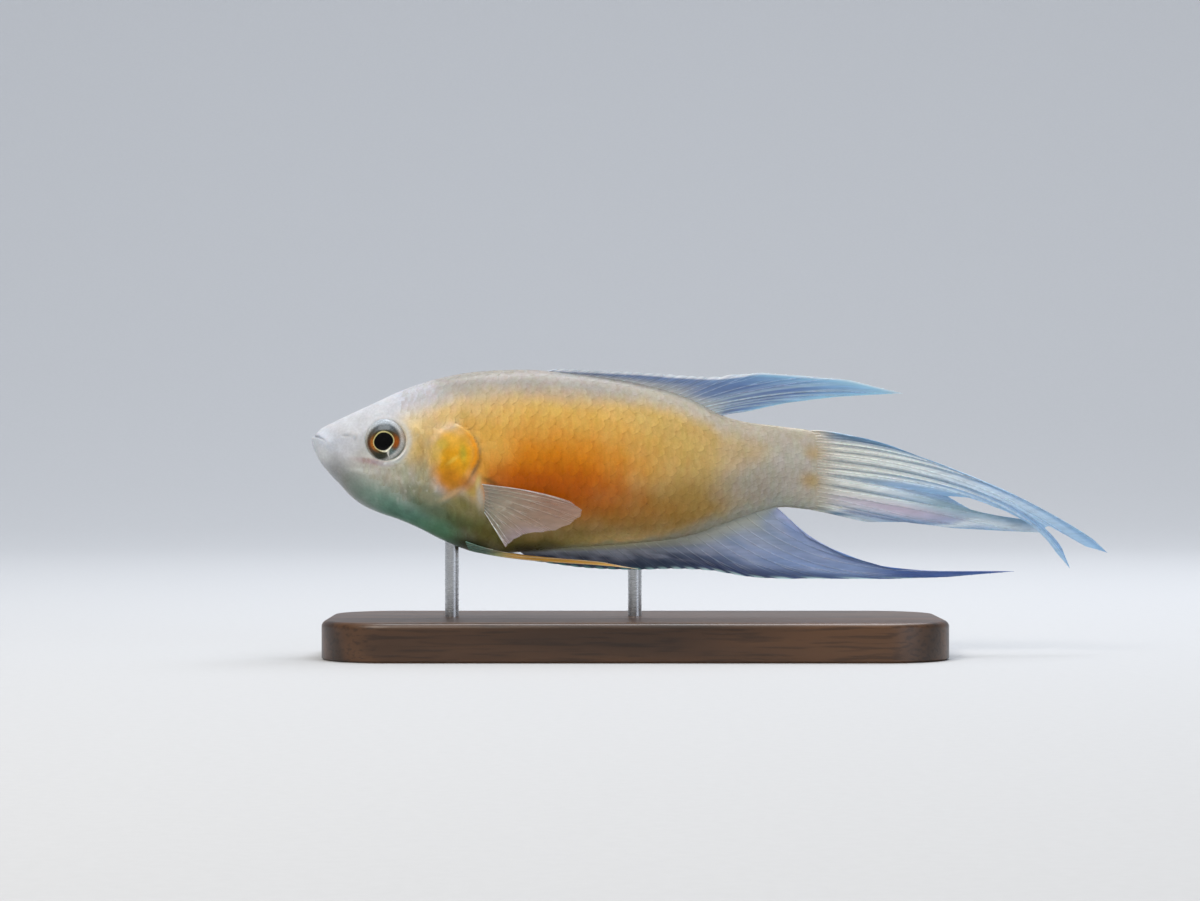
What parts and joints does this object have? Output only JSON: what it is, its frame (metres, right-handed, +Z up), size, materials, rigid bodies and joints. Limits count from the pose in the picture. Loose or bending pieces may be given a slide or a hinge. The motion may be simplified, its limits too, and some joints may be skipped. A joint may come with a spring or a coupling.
{
  "type": "paradise fish display model",
  "caption": "Still, life-size model of a gold paradise fish swimming level with long trailing fins, held by slim rods on a flat display base.",
  "frame": {"origin": "centre of the whole model's box in plan, on the underside of the stand's base", "axes": "+X from the fish's snout to its tail, +Y to the fish's right side, +Z up"},
  "size_m": [0.1039, 0.034, 0.0373],
  "materials": {
    "pale_skin": "smooth, wet-looking pale skin of the head",
    "gold_skin": "wet-looking gold skin under small overlapping scales",
    "tail_skin": "wet-looking pale skin of the tail's stalk",
    "gill_gold": "smooth golden plate with a bright rim",
    "eye": "polished dark eye with a pale gold ring",
    "blue_fin": "thin blue membrane over fine rays",
    "milky_fin": "thin milky membrane over pale rays",
    "clear_fin": "thin clear pinkish membrane over fine pale rays",
    "amber_fin": "thin amber fin drawn out to a pale thread",
    "walnut": "oiled dark walnut",
    "steel": "brushed steel rod"
  },
  "bodies": {
    "root": {"head": "pale_skin", "gill_cover_left": "gill_gold", "gill_cover_right": "gill_gold", "eye_left": "eye", "eye_right": "eye", "torso": "gold_skin", "tail_stalk": "tail_skin", "dorsal_fin": "blue_fin", "anal_fin": "blue_fin", "tail_fin_upper_lobe": "milky_fin", "tail_fin_lower_lobe": "milky_fin", "pectoral_fin_left": "clear_fin", "pectoral_fin_right": "clear_fin", "pelvic_fin_left": "amber_fin", "pelvic_fin_right": "amber_fin", "stand_base": "walnut", "stand_rod_front": "steel", "stand_rod_rear": "steel"}
  },
  "joints": []
}
